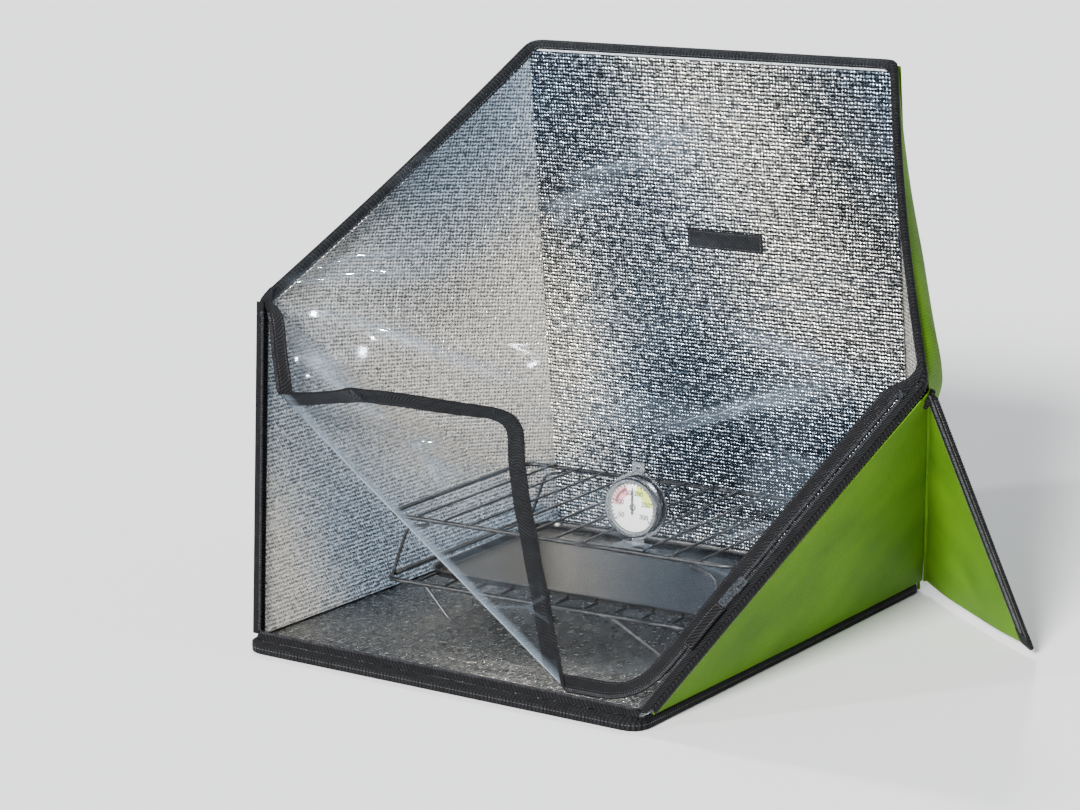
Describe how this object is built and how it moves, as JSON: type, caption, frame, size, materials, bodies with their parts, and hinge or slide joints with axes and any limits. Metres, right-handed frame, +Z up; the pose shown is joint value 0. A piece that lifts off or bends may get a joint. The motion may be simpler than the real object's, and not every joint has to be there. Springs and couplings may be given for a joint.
{
  "type": "folding solar oven",
  "caption": "Fold-flat fabric solar oven with foil lining, zipped clear window with one corner turned over, wire racks, tray and dial thermometer.",
  "frame": {"origin": "on the ground under the middle of the oven, midway between its two wings and between the front binding and the rear hinge strip", "axes": "+Z up, +Y from the front binding to the back panel, +X towards the side that has the zip slider"},
  "size_m": [0.7404, 0.4948, 0.4907],
  "materials": {
    "green_fabric": "woven nylon, green, matt",
    "insulation": "light stiff insulating board, wrapped out of sight",
    "foil": "quilted padding faced with silver foil, with a woven grid",
    "webbing": "black ribbed binding tape and zip tape",
    "film": "clear soft film",
    "zip_metal": "plated",
    "wire": "black coated wire",
    "enamel": "dark enamel",
    "steel": "bright",
    "dial_card": "white enamel with coloured arcs",
    "lens": "clear",
    "pointer": "matt black"
  },
  "bodies": {
    "case": {"floor_cover": "green_fabric", "floor_board": "insulation", "floor_liner": "foil", "floor_binding_left": "webbing", "floor_binding_right": "webbing", "back_liner": "foil", "back_board": "insulation", "back_cover": "green_fabric", "rear_hinge_strip": "green_fabric", "front_binding": "webbing", "top_binding": "webbing", "window_film_upper": "film", "frame_zip_front": "webbing", "label_patch": "webbing", "lower_rack": "wire", "lower_gusset_cover_left": "green_fabric", "lower_gusset_liner_left": "foil", "upper_gusset_cover_left": "green_fabric", "upper_gusset_liner_left": "foil", "lower_edge_binding_left": "webbing", "upper_edge_binding_left": "webbing", "crease_welt_left": "green_fabric", "corner_tab_left": "webbing", "frame_zip_left": "webbing", "zip_stop_left": "zip_metal", "lower_gusset_cover_right": "green_fabric", "lower_gusset_liner_right": "foil", "upper_gusset_cover_right": "green_fabric", "upper_gusset_liner_right": "foil", "lower_edge_binding_right": "webbing", "upper_edge_binding_right": "webbing", "crease_welt_right": "green_fabric", "corner_tab_right": "webbing", "frame_zip_right": "webbing", "zip_stop_right": "zip_metal"},
    "window_flap": {"window_film_lower": "film", "flap_zip_left": "webbing", "flap_zip_right": "webbing", "flap_zip_front": "webbing"},
    "window_corner": {"window_film_corner": "film", "corner_zip_side": "webbing", "corner_zip_front": "webbing"},
    "slider": {"zip_slider": "zip_metal"},
    "pull": {"zip_pull": "zip_metal", "pull_tag": "webbing"},
    "left_wing": {"wing_panel_left": "green_fabric", "wing_zip_left": "webbing"},
    "right_wing": {"wing_panel_right": "green_fabric", "wing_zip_right": "webbing"},
    "tray": {"baking_tray": "enamel"},
    "rack_and_dial": {"upper_rack": "wire", "upper_rack_leg_left": "wire", "upper_rack_leg_right": "wire", "thermometer_case": "steel", "thermometer_bezel": "steel", "thermometer_dial": "dial_card", "thermometer_lens": "lens", "thermometer_strap": "steel", "bimetal_coil": "steel"},
    "dial_pointer": {"thermometer_pointer": "pointer"}
  },
  "joints": [
    {"name": "window_flap_lift", "type": "hinge", "parent": "case", "child": "window_flap", "pos_m": [0, -0.05111, 0.262], "axis": [-1, 0, 0], "range_deg": [0, 150]},
    {"name": "window_corner_fold", "type": "hinge", "parent": "window_flap", "child": "window_corner", "pos_m": [-0.30504, -0.0933, 0.20759], "axis": [0.8769, -0.2874, -0.3854], "range_deg": [0, 175]},
    {"name": "slider_run", "type": "slide", "parent": "case", "child": "slider", "axis": [0.4137, 0.5442, 0.7299], "range_m": [-0.06, 0.182]},
    {"name": "pull_swing", "type": "hinge", "parent": "slider", "child": "pull", "pos_m": [0.24067, -0.16983, 0.10997], "axis": [-0.9104, 0.2473, 0.3317], "range_deg": [0, 150]},
    {"name": "left_wing_swing", "type": "hinge", "parent": "case", "child": "left_wing", "pos_m": [-0.20226, 0.24133, 0.01365], "axis": [0.3451, 0.7143, -0.6088], "range_deg": [-60, 120]},
    {"name": "right_wing_swing", "type": "hinge", "parent": "case", "child": "right_wing", "pos_m": [0.20226, 0.24133, 0.01365], "axis": [0.3451, -0.7143, 0.6088], "range_deg": [-60, 120]},
    {"name": "tray_slide", "type": "slide", "parent": "case", "child": "tray", "axis": [0.0384, -0.9993, 0], "range_m": [0, 0.04]},
    {"name": "upper_rack_lift", "type": "slide", "parent": "case", "child": "rack_and_dial", "axis": [0, 0, 1], "range_m": [0, 0.02]},
    {"name": "pointer_turn", "type": "hinge", "parent": "rack_and_dial", "child": "dial_pointer", "pos_m": [0.09773, -0.08975, 0.1375], "axis": [0.0384, -0.9993, 0], "range_deg": [-135, 135]}
  ]
}
